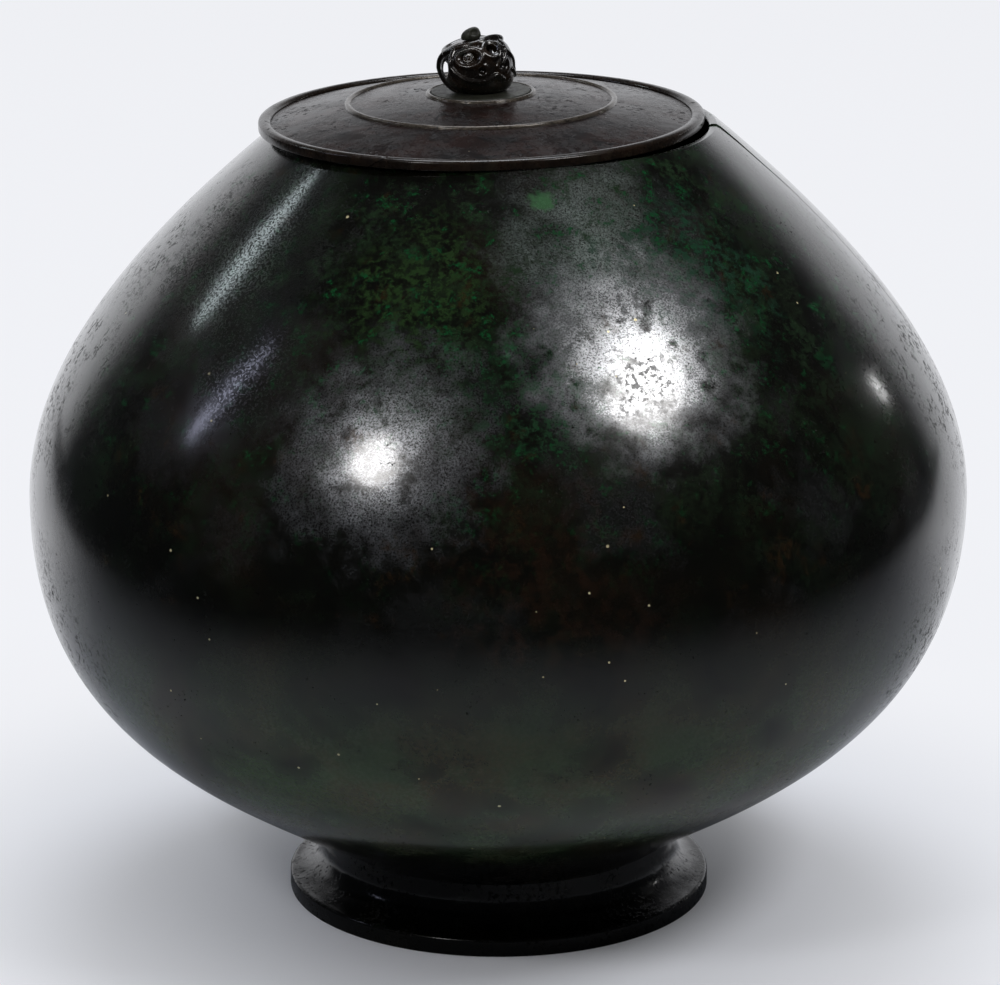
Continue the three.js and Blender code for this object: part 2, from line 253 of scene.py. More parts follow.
def bronzeFinish(name, recipe):
    material = bpy.data.materials.new(name)
    material.use_nodes = True
    tree = material.node_tree
    where = addNode(tree, "TexCoord").outputs["Object"]
    film = layerMask(tree, where, {"masks": recipe["film"]})
    pits = layerMask(tree, where, {"masks": recipe["pits"]})
    for flake in recipe.get("flakes", []):
        pits = addNode(tree, "Math", {0: pits, 1: layerMask(tree, where, flake)}, operation="MAXIMUM")
    rough = addNode(tree, "MapRange", {
        "Value": film, "To Min": recipe["roughness"][0], "To Max": recipe["roughness"][1]})
    colour = linear(recipe["base"])
    metal = recipe.get("metallic", 0)
    for layer in recipe["layers"]:
        mask = layerMask(tree, where, layer)
        tinted = addNode(tree, "Mix", {0: mask, 6: colour, 7: linear(layer["colour"])}, **colourMix)
        colour = tinted.outputs[2]
        if "roughness" in layer:
            rough = addNode(tree, "Mix", {0: mask, 2: rough, 3: layer["roughness"]})
        if "metallic" in layer:
            metal = addNode(tree, "Mix", {0: mask, 2: metal, 3: layer["metallic"]})
    if "specks" in recipe:
        specks = recipe["specks"]
        largest = specks["radius"] / specks["spacing"]
        cell = addNode(tree, "TexVoronoi", {"Vector": where, "Scale": 1 / (specks["spacing"] * mm)})
        chance = addNode(tree, "SeparateColor", {0: cell.outputs["Color"]})
        reach = addNode(tree, "MapRange", {
            "Value": chance.outputs[1], "To Min": leastSpeck * largest, "To Max": largest})
        near = addNode(tree, "Math", {0: cell.outputs["Distance"], 1: reach}, operation="LESS_THAN")
        some = addNode(tree, "Math", {0: chance.outputs[0], 1: specks["share"]}, operation="LESS_THAN")
        mask = addNode(tree, "Math", {0: near, 1: some}, operation="MULTIPLY")
        speckled = addNode(tree, "Mix", {0: mask, 6: colour, 7: linear(specks["colour"])}, **colourMix)
        colour = speckled.outputs[2]
    # pits are dull and dark and break the wax
    rough = addNode(tree, "Mix", {0: pits, 2: rough, 3: recipe["pitRoughness"]})
    pitted = addNode(tree, "Mix", {0: pits, 6: colour, 7: linear(recipe["pitColour"])}, **colourMix)
    wax = addNode(tree, "MapRange", {"Value": pits, "To Min": recipe["wax"], "To Max": 0.0})
    # heights in millimetres: grain in the film, and pits, over the ripple that the wax follows
    grain = addNode(tree, "TexNoise", {
        "Vector": where, "Scale": 1 / (recipe["grain"]["size"] * mm), **grainNoise})
    stand = addNode(tree, "MapRange", {
        "Value": film, "To Min": bareGrain * recipe["grain"]["depth"], "To Max": recipe["grain"]["depth"]})
    raised = addNode(tree, "Math", {0: grain, 1: stand}, operation="MULTIPLY")
    level = addNode(tree, "Math", {0: pits, 1: -recipe["pitDepth"], 2: raised}, operation="MULTIPLY_ADD")
    ripple = addNode(tree, "TexNoise", {
        "Vector": where, "Scale": 1 / (recipe["ripple"]["size"] * mm), **rippleNoise})
    smooth = addNode(tree, "Bump", {
        "Height": ripple, "Strength": 1.0, "Distance": recipe["ripple"]["depth"] * mm})
    bump = addNode(tree, "Bump", {"Height": level, "Strength": 1.0, "Distance": mm, "Normal": smooth})
    setInputs(tree, tree.nodes["Principled BSDF"], {
        "Base Color": pitted.outputs[2], "Metallic": metal, "Roughness": rough, "Normal": bump,
        "Coat Weight": wax, "Coat Normal": smooth, "Coat Roughness": recipe["waxRoughness"],
        "Coat IOR": waxIor, "Specular IOR Level": recipe["specular"]})
    return material


# Raised bronze, pickled dark green and waxed: nearly black, with clouds of green and a grey bloom
rubbed = {"colour": "#7A7C7F", "metallic": 1, "roughness": 0.36}  # bare metal shows as a grey satin sheen
speckle = patch(0.6, 0.3, 0.66, 0.66, detail=3)  # drawn coarser than it is, to show
bloom = patch(0.6, 0.22, 0.64, 0.66, detail=3)
cloud = patch(9, 0.3, 0.5, 0.7)
mottle = patch(3, 0.44, 0.6, 0.72)
flaking = [patch(2, 0.5, 0.6, 0.7), patch(15, 0.42, 0.56)]
# how strong, where, how far and how ragged the wax flakes along both sides
sideFlakes = [
    (0.8, (142, -30, 200), 60, 24), (0.8, (150, -52, 112), 52, 24), (0.8, (-142, -30, 196), 60, 24),
    (0.7, (-104, -30, 246), 40, 18), (0.8, (-146, -56, 112), 46, 18)]
green = {"metallic": 0, "roughness": 0.24}
backGreens = [(-78, 94, 246), (60, 94, 250), (112, 56, 240), (-4, 136, 220), (-128, 44, 226)]
backRubs = [(20, 134, 222), (-104, 96, 210), (118, 82, 212)]
raisedBronze = bronzeFinish("raisedBronzeWaxedPatina", {
    "base": "#080804", "specular": 0.1, "roughness": (0.22, 0.3), "wax": 1, "waxRoughness": 0.13,
    "layers": [
        {"colour": "#150F07", "masks": [patch(60, 0.46, 0.66)]},
        {"colour": "#1E130A", "masks": [spot((15, -163, 164), 46, 16), patch(5, 0.44, 0.62)]},
        # painted shade: these green and brown mottles of the lower half fade out from 60 mm down to 36 mm, so
        # the underside near the foot stays near black
        {"colour": "#36482F", "masks": [
            {"none": 150, "full": 70}, {"none": 36, "full": 60}, patch(30, 0.28, 0.64)]},
        {"colour": "#433726", "weight": 0.9, "masks": [
            {"none": 145, "full": 70}, {"none": 36, "full": 60}, patch(24, 0.4, 0.66),
            patch(1.3, 0.26, 0.7, 0.7)]},
        {**rubbed, "colour": "#838F89", "masks": [spot((32, -92, 261), 40, 16, 0.7), speckle]},
        {**rubbed, "weight": 0.08, "masks": [patch(40, 0.5, 0.62), {"none": 110, "full": 180}, speckle]},
        {**green, "colour": "#161F12", "masks": [
            patch(34, 0.48, 0.62, 0.7), {"none": 100, "full": 220}, patch(2.2, 0.36, 0.58, 0.74)]},
        {**green, "colour": "#1C2C1A", "masks": [
            patch(15, 0.5, 0.64, 0.72), {"none": 140, "full": 250}, patch(2.6, 0.4, 0.56, 0.7)]},
        {**green, "colour": "#22361A", "masks": [spot((-26, -109, 247), 36, 15), mottle]},
        {**green, "colour": "#1C3828", "masks": [spot((63, -90, 249), 40, 17), mottle]},
        {**green, "colour": "#1C3722", "masks": [spot((12, -138, 218), 30, 13), mottle]},
        {**green, "colour": "#0F4422", "masks": [
            patch(8, 0.53, 0.63, 0.7), {"none": 140, "full": 240}, patch(1.6, 0.44, 0.64)]},
        *[{**green, "colour": "#1E3820", "masks": [spot(place, 36, 15), mottle]} for place in backGreens],
        *[{**rubbed, "colour": "#8E9094", "masks": [
            spot(place, 42, 13, 0.6, 0.8), speckle, cloud]} for place in backRubs],
        {**rubbed, "colour": "#AFB1B4", "roughness": 0.32, "masks": [
            spot((44, -118, 228), 46, 12, 0.5, 0.6), bloom, cloud]},
        {**rubbed, "colour": "#8E9094", "masks": [
            spot((-37, -140, 202), 44, 12, 0.6, 0.7), speckle, cloud]},
        {"colour": "#2A1C0C", "weight": 0.7, "masks": [
            patch(14, 0.58, 0.7), patch(2.4, 0.4, 0.6), {"none": 120, "full": 170}]},
        {"colour": "#26321F", "weight": 0.7, "masks": [spot((-128, -91, 103), 16, 9)]},
        {"colour": "#3E6642", "weight": 0.9, "masks": [spot((14.3, -84.6, 270.4), 5.2, 4.2, 0.3)]},
    ],
    "specks": {"colour": "#C2B78F", "spacing": 11, "radius": 0.58, "share": 0.7},
    "film": [patch(30, 0.34, 0.58, 0.66), patch(1.5, 0.36, 0.6, 0.74)],
    "grain": {"size": 0.9, "depth": 0.03},  # drawn coarser than it is, to show
    "ripple": {"size": 9, "depth": 0.04},
    "pits": [patch(1.2, 0.6, 0.66), patch(16, 0.56, 0.64)],
    "flakes": [
        {"weight": 0.66, "masks": [spot((46, -126, 221), 17, 8), patch(1.9, 0.52, 0.6, detail=2)]},
        {"weight": 0.9, "masks": [spot((-78, -108, 222), 34, 12), patch(0.9, 0.42, 0.56)]},
        {"weight": 0.9, "masks": [spot((-84, -66, 250), 46, 14, 0.25), patch(0.8, 0.48, 0.58)]},
        *[{"weight": weight, "masks": [spot(place, radius, ragged), *flaking]}
          for weight, place, radius, ragged in sideFlakes],
    ],
    "pitRoughness": 0.75, "pitColour": "#0C0C08", "pitDepth": 0.06,
})

# Turned bronze, blackened and waxed smooth: the foot is the darkest and glossiest part
turnedBronze = bronzeFinish("turnedBronzeBlackWax", {
    "base": "#040402", "specular": 0.1, "roughness": (0.2, 0.3), "wax": 0.4, "waxRoughness": 0.12,
    "layers": [
        {"colour": "#0E0C06", "masks": [patch(30, 0.46, 0.66)]},
        {"colour": "#101811", "masks": [patch(12, 0.54, 0.7, 0.7)]},
    ],
    "film": [patch(24, 0.4, 0.64), patch(1.3, 0.38, 0.6, 0.7)],
    "grain": {"size": 0.9, "depth": 0.05}, "ripple": {"size": 5, "depth": 0.08},
    "pits": [patch(1.6, 0.54, 0.62), patch(16, 0.42, 0.56)],
    "pitRoughness": 0.6, "pitColour": "#080806", "pitDepth": 0.1,
})

# Hammered sheet, brown from handling: a purple brown, scuffed dull in a net of fine dents
sheetBronze = bronzeFinish("sheetBronzeBrownPatina", {
    "base": "#150C09", "specular": 0.18, "roughness": (0.24, 0.34), "wax": 0.1, "waxRoughness": 0.2,
    "layers": [
        {"colour": "#22120D", "masks": [patch(20, 0.44, 0.62)]},
        {"colour": "#0D0A09", "masks": [patch(9, 0.48, 0.64, 0.7)]},
        {"colour": "#2C2825", "weight": 0.6, "masks": [patch(6, 0.5, 0.66, 0.74), patch(1.4, 0.42, 0.6)]},
    ],
    "specks": {"colour": "#8C8474", "spacing": 14, "radius": 0.4, "share": 0.3},
    "film": [patch(12, 0.36, 0.6), patch(1.5, 0.36, 0.62, 0.72)],
    "grain": {"size": 1.2, "depth": 0.06}, "ripple": {"size": 5, "depth": 0.12},
    "pits": [patch(2.2, 0.54, 0.62), patch(14, 0.46, 0.58)],
    "pitRoughness": 0.6, "pitColour": "#141010", "pitDepth": 0.06,
})

# Drawn band rubbed by hands: a dark polished brown that shines along its crown
wireRecipe = {
    "base": "#0E0906", "specular": 0.1, "roughness": (0.26, 0.38), "wax": 0.5, "waxRoughness": 0.13,
    "layers": [
        {"colour": "#1A100A", "masks": [patch(10, 0.44, 0.62)]},
        {"colour": "#221F17", "weight": 0.6, "masks": [patch(5, 0.52, 0.7)]},
    ],
    "film": [patch(9, 0.4, 0.62), patch(1.2, 0.38, 0.62, 0.7)],
    "grain": {"size": 1.0, "depth": 0.04}, "ripple": {"size": 4, "depth": 0.04},
    "pits": [patch(1.8, 0.58, 0.66), patch(9, 0.5, 0.6)],
    "pitRoughness": 0.55, "pitColour": "#120E0B", "pitDepth": 0.04,
}
wireWear = {"colour": "#6E5C49", "metallic": 1, "roughness": 0.3, "masks": [patch(1.1, 0.3, 0.6, 0.7)]}
wireBronze = bronzeFinish("drawnWireRubbedBronze", {
    **wireRecipe, "layers": wireRecipe["layers"] + [{**wireWear, "weight": 0.05}]})
# the rings stand in the way of the hand, so their crowns are worn to a satin grey brown
ringBronze = bronzeFinish("drawnWireWornBronze", {
    **wireRecipe, "layers": wireRecipe["layers"] + [{**wireWear, "colour": "#857C70", "weight": 0.4}]})

# Cast bronze worn by fingers: a wet-looking dark brown with bright edges
castBronze = bronzeFinish("castBronzeHandledBrown", {
    "base": "#0F0A06", "specular": 0.4, "roughness": (0.26, 0.4), "wax": 0.65, "waxRoughness": 0.14,
    "layers": [
        {"colour": "#21160B", "masks": [patch(6, 0.44, 0.64)]},
        {"colour": "#161A10", "masks": [patch(4, 0.54, 0.7)]},
    ],
    "film": [patch(4, 0.42, 0.62), patch(0.9, 0.36, 0.62)],
    "grain": {"size": 0.9, "depth": 0.04}, "ripple": {"size": 3, "depth": 0.04},
    "pits": [patch(1.4, 0.6, 0.68), patch(5, 0.5, 0.6)],
    "pitRoughness": 0.5, "pitColour": "#0C0A07", "pitDepth": 0.04,
})

# Filed bronze left dull: a flat grey green like dried verdigris under dust
filedBronze = bronzeFinish("filedBronzeGreyGreen", {
    "base": "#2E2F28", "specular": 0.3, "roughness": (0.4, 0.6), "wax": 0.05, "waxRoughness": 0.3,
    "layers": [
        {"colour": "#22221B", "masks": [patch(4, 0.42, 0.62)]},
        {"colour": "#3E4236", "masks": [patch(2, 0.52, 0.7)]},
    ],
    "film": [patch(3, 0.36, 0.6), patch(1.0, 0.36, 0.62)],
    "grain": {"size": 0.9, "depth": 0.06}, "ripple": {"size": 3, "depth": 0.05},
    "pits": [patch(1.4, 0.56, 0.66), patch(5, 0.46, 0.58)],
    "pitRoughness": 0.75, "pitColour": "#1E1E18", "pitDepth": 0.05,
})

# Bare bronze out of sight, dulled by air: a yellow brown, evenly tarnished
tarnishedBronze = bronzeFinish("plainBronzeTarnished", {
    "base": "#6A5433", "metallic": 0.8, "specular": 0.5, "roughness": (0.4, 0.55),
    "wax": 0.0, "waxRoughness": 0.3,
    "layers": [
        {"colour": "#4B3C25", "masks": [patch(8, 0.44, 0.66)]},
        {"colour": "#3D4030", "masks": [patch(4, 0.56, 0.74)]},
    ],
    "film": [patch(6, 0.36, 0.6), patch(1.0, 0.36, 0.62)],
    "grain": {"size": 1.0, "depth": 0.04}, "ripple": {"size": 4, "depth": 0.04},
    "pits": [patch(1.6, 0.58, 0.68), patch(8, 0.48, 0.6)],
    "pitRoughness": 0.7, "pitColour": "#3A2F1E", "pitDepth": 0.04,
})
print("finishes made")


# Vessel

bodyLow, bodyHigh = (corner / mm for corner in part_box("vessel_body"))
bellyRadius = (bodyHigh.x - bodyLow.x) / 2
mouthHeight = bodyHigh.z
footHeight = bodyLow.z

vesselForm = {
    "mouthRadius": 75.5, "shoulderSlope": 40.3, "shoulderReach": 40,
    "bellyHeight": 148.6, "upperBellyReach": 54, "lowerBellyReach": 77.5,
    "baseRadius": 62, "baseSlope": 33.4, "baseReach": 55,
    "wall": 2, "floor": 2.4, "ledge": 14, "lipRounding": 0.5, "lipInside": 1.3, "lipStart": 40,
    "columns": 240, "curveSteps": 90,
    "leanShift": -2.3, "leanHeight": 45, "leanSpread": 65, "leanStart": 14,  # the body sits a little askew
    "swells": [(60, 0.2, 3), (19, 0.05, 8)],  # size, depth and seed of the hand-raised unevenness
    "evenBase": 12, "evenLip": 6,  # over which the unevenness dies out
}

# A hairline crack runs down the shoulder, and the lip stands higher behind it than in front
vesselCrack = {
    "angle": -3.2, "length": 75, "depth": 0.8, "clear": 2.4,
    "offsets": (-1.6, -0.8, -0.24, -0.1, 0, 0.1, 0.24, 0.8, 1.6),
    "profile": ((0, 0.1, 0.24), (1, 0.7, 0)),  # distances from its middle, and how deep it is there
    "wanders": [(0.5, 9.5, 0), (0.2, 2.9, 1)],  # size, wave and start of its wandering
    "step": 0.5, "stepReach": 42, "stepFall": 14, "stepStart": 0.02,
}


def wallCurve(form, inset, floor, steps):
    slope, base = math.radians(form["shoulderSlope"]), math.radians(form["baseSlope"])
    mouth = np.array([form["mouthRadius"] - inset / math.sin(slope), mouthHeight])
    belly = np.array([bellyRadius - inset, form["bellyHeight"]])
    start = np.array([
        form["baseRadius"] + (floor - inset / math.cos(base)) / math.tan(base), footHeight + floor])
    lower = bezier([
        start, start + form["baseReach"] * np.array([math.cos(base), math.sin(base)]),
        belly - [0, form["lowerBellyReach"]], belly], steps)
    upper = bezier([
        belly, belly + [0, form["upperBellyReach"]],
        mouth + form["shoulderReach"] * np.array([math.cos(slope), -math.sin(slope)]), mouth], steps)
    return np.vstack([lower, upper[1:]])


def vesselPoints(form, crack):
    opening = form["baseRadius"] - form["ledge"]
    outer = wallCurve(form, 0, 0, form["curveSteps"])
    inner = wallCurve(form, form["wall"], form["floor"], form["curveSteps"] // 3)[::-1]
    soft, inside = form["lipRounding"], form["lipInside"]
    outerEdge, innerEdge = outer[-1, 0], inner[0, 0]
    lip = np.vstack([
        arc((outerEdge - soft, mouthHeight - soft), soft, soft, form["lipStart"], 90, 3),
        arc((innerEdge + inside, mouthHeight - inside), inside, inside, 90, 180, 5)])
    ledge = [[opening, footHeight + form["floor"]], [opening, footHeight]]
    outline = np.vstack([outer[:-1], lip, inner[1:], ledge])
    radius, height = outline.T[:, :, None]
    outside = np.arange(len(outline))[:, None] < len(outer) + len(lip) - 1

    # columns all round, with close ones that follow the crack
    even = np.arange(form["columns"]) * 2 * math.pi / form["columns"] - math.pi
    middle = math.radians(crack["angle"])
    far = even[np.abs(even - middle) > math.radians(crack["clear"])]
    wander = sum(size * np.sin(height / wave + start) for size, wave, start in crack["wanders"])
    offsets = np.array(crack["offsets"])[None, :]
    close = middle + (wander + offsets) / radius
    before, after = far[far < middle], far[far > middle]
    ones = np.ones_like(radius)
    angle = np.hstack([ones * before, close, ones * after])
    shift = np.full(angle.shape, np.inf)
    shift[:, len(before):len(before) + offsets.size] = offsets

    points = np.stack([radius * np.cos(angle), radius * np.sin(angle), height + 0 * angle], -1)
    normal = outward(points)
    fallen = mouthHeight - height
    raised = sum(roll(points, *swell) for swell in form["swells"])
    raised *= np.clip((height - footHeight) / form["evenBase"], 0, 1)
    raised *= np.clip(fallen / form["evenLip"], 0, 1) * outside
    groove = np.interp(np.abs(shift), *crack["profile"])
    groove = groove * np.clip(1 - fallen / crack["length"], 0, 1)
    turn = (angle - middle) * radius
    side = np.exp(-np.abs(turn) / crack["stepReach"]) * np.exp(-fallen / crack["stepFall"])
    side *= (shift > 0) & (angle > middle - crack["stepStart"]) & (angle < middle + math.pi / 2)
    points += normal * ((raised - crack["depth"] * groove * outside)[..., None])
    points[..., 2] += crack["step"] * side
    lean = np.exp(-(((height - form["leanHeight"]) / form["leanSpread"]) ** 2))
    rise = np.clip((height - footHeight) / form["leanStart"], 0, 1)
    points[..., 0] += form["leanShift"] * lean * rise * rise * (3 - 2 * rise)
    return points


vesselGrid = vesselPoints(vesselForm, vesselCrack)
addPiece("vesselBody", vesselGrid, gridFaces(*vesselGrid.shape[:2]), raisedBronze,
         "vessel", "vessel_bronze", "vessel_body")


# Foot

footForm = {
    "neck": 5, "neckWall": 3, "plinthHeight": 6.4, "plinthEdge": 1.2, "hollowTurn": 60,
    "columns": 216, "evenTop": 2, "wears": [(7, 0.12, 5), (26, 0.12, 6)],  # size, depth and seed
}


def footPoints(form):
    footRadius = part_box("foot_ring")[1].x / mm
    edge = form["plinthEdge"]
    middle = (footRadius - edge, footHeight - form["neck"])
    width, drop = middle[0] - vesselForm["baseRadius"], middle[1] - form["plinthHeight"]
    wall = form["neckWall"]
    hollow = arc(middle, width + wall, drop + wall, 180, 180 + form["hollowTurn"], 10)
    neckTop = np.linspace([vesselForm["baseRadius"], middle[1]], [vesselForm["baseRadius"], footHeight], 4)
    outline = np.vstack([
        [[hollow[-1, 0], 0], [footRadius - 2 * edge, 0]],
        arc((footRadius - edge / 2, edge / 2), edge / 2, edge / 2, -90, 0, 4),
        arc((middle[0], form["plinthHeight"] - edge), edge, edge, 0, 90, 6),
        arc(middle, width, drop, 270, 180, 26)[1:-1],
        neckTop, [[vesselForm["baseRadius"] - wall, footHeight]], hollow])
    points = turned(outline, form["columns"])
    height = points[..., 2]
    upright = np.clip(height / edge, 0, 1) * np.clip((footHeight - height) / form["evenTop"], 0, 1)
    worn = sum(roll(points, *wear) for wear in form["wears"])
    return points - outward(points) * (np.abs(worn) * upright)[..., None]


footGrid = footPoints(footForm)
addPiece("footRing", footGrid, gridFaces(*footGrid.shape[:2]), turnedBronze,
         "vessel", "foot_bronze", "foot_ring")


# Lid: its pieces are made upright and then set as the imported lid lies

def lidPlacement():
    ring = np.array([v.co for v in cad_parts["lid_mid_ring"].data.vertices])
    centre = ring.mean(0)
    axis = np.linalg.svd(ring - centre)[2][2]
    axis *= np.sign(axis[2])
    plate = np.array([v.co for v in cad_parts["lid_plate"].data.vertices])
    origin = centre + axis * ((plate - centre) @ axis).min()
    side = np.cross([0, 1, 0], axis)
    side /= np.linalg.norm(side)
    return np.stack([side, np.cross(axis, side), axis], -1), origin / mm


lidTurn, lidOrigin = lidPlacement()


def onLid(points):
    return np.asarray(points).reshape(-1, 3) @ lidTurn.T + lidOrigin


lidForm = {
    "sheet": 1.2, "domeRise": 9.2, "crestRadius": 72.6, "landingRadius": 20.6, "edge": 76.05,
    "bore": 2.55, "film": 0.15, "columns": 192, "rings": 40, "landingRings": 8,
    "evenEdge": 4, "swells": [(16, 0.09, 11), (5, 0.025, 12)],  # size, depth and seed of the hammering
}


def domeHeight(radius):
    rise, crest = lidForm["domeRise"], lidForm["crestRadius"]
    sphere = (crest ** 2 + rise ** 2) / (2 * rise)
    return np.where(radius < crest, rise - sphere + np.sqrt(np.maximum(sphere ** 2 - radius ** 2, 0)), 0)


landingTop = float(lidForm["sheet"] + domeHeight(lidForm["landingRadius"]))


def lidPlatePoints(form):
    across = np.linspace(form["landingRadius"], form["crestRadius"], form["rings"])
    below = np.stack([across, domeHeight(across)], -1)
    flat = np.linspace(form["bore"], form["landingRadius"], form["landingRings"])[:-1]
    top = np.vstack([
        [[form["edge"], 0], [form["edge"], form["sheet"]]], (below + [0, form["sheet"]])[::-1],
        np.stack([flat, 0 * flat + landingTop], -1)[::-1]])
    bottom = np.vstack([np.stack([flat, 0 * flat + landingTop - form["sheet"]], -1), below])
    points = turned(np.vstack([bottom, top]), form["columns"])
    radius = np.hypot(points[..., 0], points[..., 1])
    upper = np.arange(len(points))[:, None] >= len(bottom) + 2
    hammered = sum(roll(points, *swell) for swell in form["swells"])
    hammered *= upper * np.clip((form["crestRadius"] - radius) / form["evenEdge"], 0, 1)
    points[..., 2] += hammered
    return points


lidGrid = lidPlatePoints(lidForm)
addPiece("lidPlate", onLid(lidGrid), gridFaces(*lidGrid.shape[:2]), sheetBronze,
         "lid", "lid_bronze", "lid_plate")


# Band round the lid, closed by a slanting soldered joint
bandForm = {
    "inner": 76.2, "wall": 0.8, "drop": 1.05, "width": 4.4, "crown": 1.2,
    "jointTurn": -26, "jointSlant": 30, "jointGap": 0.3, "columns": 300, "wear": (6, 0.05, 15),
}


def lidBandPoints(form):
    outerRadius = form["inner"] + form["wall"]
    base = lidForm["sheet"] + lidForm["film"]
    middle = (outerRadius - form["width"] / 2, base)
    soft = form["wall"] / 2
    outline = np.vstack([
        [[form["inner"], -form["drop"]]],
        arc((outerRadius - soft, soft - form["drop"]), soft, soft, -90, 0, 4),
        arc(middle, form["width"] / 2, form["crown"], 0, 180, 16),
        [[form["inner"], base]]])
    radius, height = outline.T[:, :, None]
    slant = (height - base) / math.tan(math.radians(form["jointSlant"])) / radius
    joint = math.radians(form["jointTurn"] - 90) + slant
    half = form["jointGap"] / 2 / math.sin(math.radians(form["jointSlant"])) / radius
    angle = joint + half + np.linspace(0, 1, form["columns"]) * (2 * math.pi - 2 * half)
    points = np.stack([radius * np.cos(angle), radius * np.sin(angle), height + 0 * angle], -1)
    worn = np.clip((height - base) / form["crown"], 0, 1) * np.abs(roll(points, *form["wear"]))
    points[..., 2] -= worn
    return points


bandGrid = lidBandPoints(bandForm)
bandRows, bandColumns = bandGrid.shape[:2]
bandFaces = gridFaces(bandRows, bandColumns, closeColumns=False)
bandFaces += [[r * bandColumns for r in range(bandRows)][::-1]]
bandFaces += [[(r + 1) * bandColumns - 1 for r in range(bandRows)]]
addPiece("lidRimBand", onLid(bandGrid), bandFaces, wireBronze, "lid", "moulding_bronze", "lid_rim_band")


# Half-round wires on the lid, each in a small fillet of solder
wireSet = {"fillet": 0.12, "lift": 0.02, "edgeTurn": 8, "wornFrom": 0.2, "wear": (5, 0.05, 21)}
wireForms = {
    "lidMidRing": {"node": "lid_mid_ring", "radius": 46, "width": 2.2, "crown": 0.9, "columns": 160},
    "lidSeatRing": {"node": "lid_seat_ring", "radius": 18.2, "width": 1.7, "crown": 0.9, "columns": 96},
}


def wirePoints(form):
    half, fillet, edgeTurn = form["width"] / 2, wireSet["fillet"], wireSet["edgeTurn"]
    edges = np.array([form["radius"] - half - fillet, form["radius"] + half + fillet])
    seat = np.minimum(lidForm["sheet"] + domeHeight(edges), landingTop) + wireSet["lift"]
    foot = np.stack([edges, seat], -1)
    wire = arc((form["radius"], seat.mean()), half, form["crown"], edgeTurn, 180 - edgeTurn, 14)
    points = turned(np.vstack([foot, wire]), form["columns"])
    points[..., 2] += roll(points, *wireSet["wear"]) * (points[..., 2] > seat.mean() + wireSet["wornFrom"])
    return points


for name, form in wireForms.items():
    grid = wirePoints(form)
    addPiece(name, onLid(grid), gridFaces(*grid.shape[:2]), ringBronze, "lid", "moulding_bronze",
             form["node"])


# Seat disc under the knob
seatForm = {"radius": 17.1, "thickness": 0.8, "edge": 0.3, "columns": 120, "rings": 12,
            "wear": (4, 0.06, 31), "wornFrom": 0.01}  # size, depth and seed, and how far down the top is worn


def seatPoints(form):
    outer = form["radius"]
    bottom = landingTop + lidForm["film"]
    top = bottom + form["thickness"]
    edge = form["edge"]
    flat = np.linspace(outer - 2 * edge, lidForm["bore"], form["rings"])
    outline = np.vstack([
        [[lidForm["bore"], bottom], [outer, bottom]],
        arc((outer - edge, top - edge), edge, edge, 0, 90, 4),
        np.stack([flat, 0 * flat + top], -1)])
    points = turned(outline, form["columns"])
    points[..., 2] += roll(points, *form["wear"]) * (points[..., 2] > top - form["wornFrom"])
    return points


seatGrid = seatPoints(seatForm)
addPiece("finialSeat", onLid(seatGrid), gridFaces(*seatGrid.shape[:2]), filedBronze,
         "lid", "seat_bronze", "finial_seat")
knobBottom = landingTop + 2 * lidForm["film"] + seatForm["thickness"]


# Knob: a pierced ball of looping stems over a hollow, with a grooved leaf at its right
knobForm = {
    "length": 25.4, "depth": 24.4, "crown": 9.9, "centre": 8, "lean": -1.3,
    "fullness": (2.3, 2.6), "skew": 0.012, "shear": 0.2, "shell": 2.4, "floor": 4.6, "step": 0.26,
    "boreDepth": 3.4, "margin": 1.6, "headroom": 1.2,
    "cutBlend": 0.4, "openingBlend": 0.5, "loopBlend": 0.5, "loopLift": -0.25, "loopSteps": 28,
    "stemBlend": 0.3, "stemLift": 0.05,
    # each opening: turn from the front to the right, rise, half width, half height, twist and depth
    "openings": [
        (-13, 27, 3.4, 2.1, 8, 1.9), (35, 38, 1.8, 1.75, 0, 6), (50, 8, 1.7, 1.2, 12, 1.5),
        (10, 4, 1.3, 1.1, 0, 1.4),
        (100, 14, 1.8, 3.2, 20, 6), (140, 14, 2.4, 2.8, -18, 6), (184, 22, 3.1, 2.2, -8, 6),
        (-124, 6, 1.7, 3.6, 6, 6),
    ],
    # each loop round an opening: its middle, half turn, half rise and thickness
    "loops": [
        (-13, 27, 25, 16.5, 0.95), (35, 38, 21, 16, 0.85), (50, 8, 13, 10, 0.6), (10, 4, 10, 9, 0.55),
        (184, 22, 25, 17, 0.9), (140, 14, 18, 18, 0.8), (-14, 26, 8.5, 7, 0.42),
    ],
    "boss": {"turn": -14, "rise": 26, "radius": 1.3, "lift": -1.1},  # stands in the large loop at the front
    # each stem: how thick it is and the turns and rises that it passes
    "stems": [
        (1.1, [(-52, 50), (-74, 34), (-87, 12), (-89, -8), (-80, -26), (-62, -38)]),
        (1.2, [(-72, 30), (-58, 40), (-40, 48), (-10, 54), (18, 58), (56, 64), (90, 56), (118, 40), (150, 36),
               (184, 46), (216, 42), (250, 34), (288, 30)]),
        (0.65, [(56, 46), (48, 31), (43, 18), (36, 8)]),
        (0.65, [(74, 46), (67, 34), (55, 20), (47, 11)]),
        (0.65, [(60, 34), (71, 22), (85, 10), (96, -6)]),
        (0.9, [(-52, 38), (-46, 17), (-43, -4), (-37, -24)]),
        (0.8, [(-44, 8), (-28, -6), (-6, -13), (16, -12), (34, -4), (46, -12)]),
        (0.8, [(76, -2), (100, -16), (130, -12), (160, -4), (190, -10), (220, -4), (240, 10)]),
    ],
    # see-through slit between the left stem and the ball, along the line of sight
    "slit": {"place": (-10.5, 0, -0.6), "half": (0.95, 14, 3.0), "drop": 11},
}
knobHalf = np.array([knobForm["length"] / 2, knobForm["depth"] / 2, knobForm["crown"]])


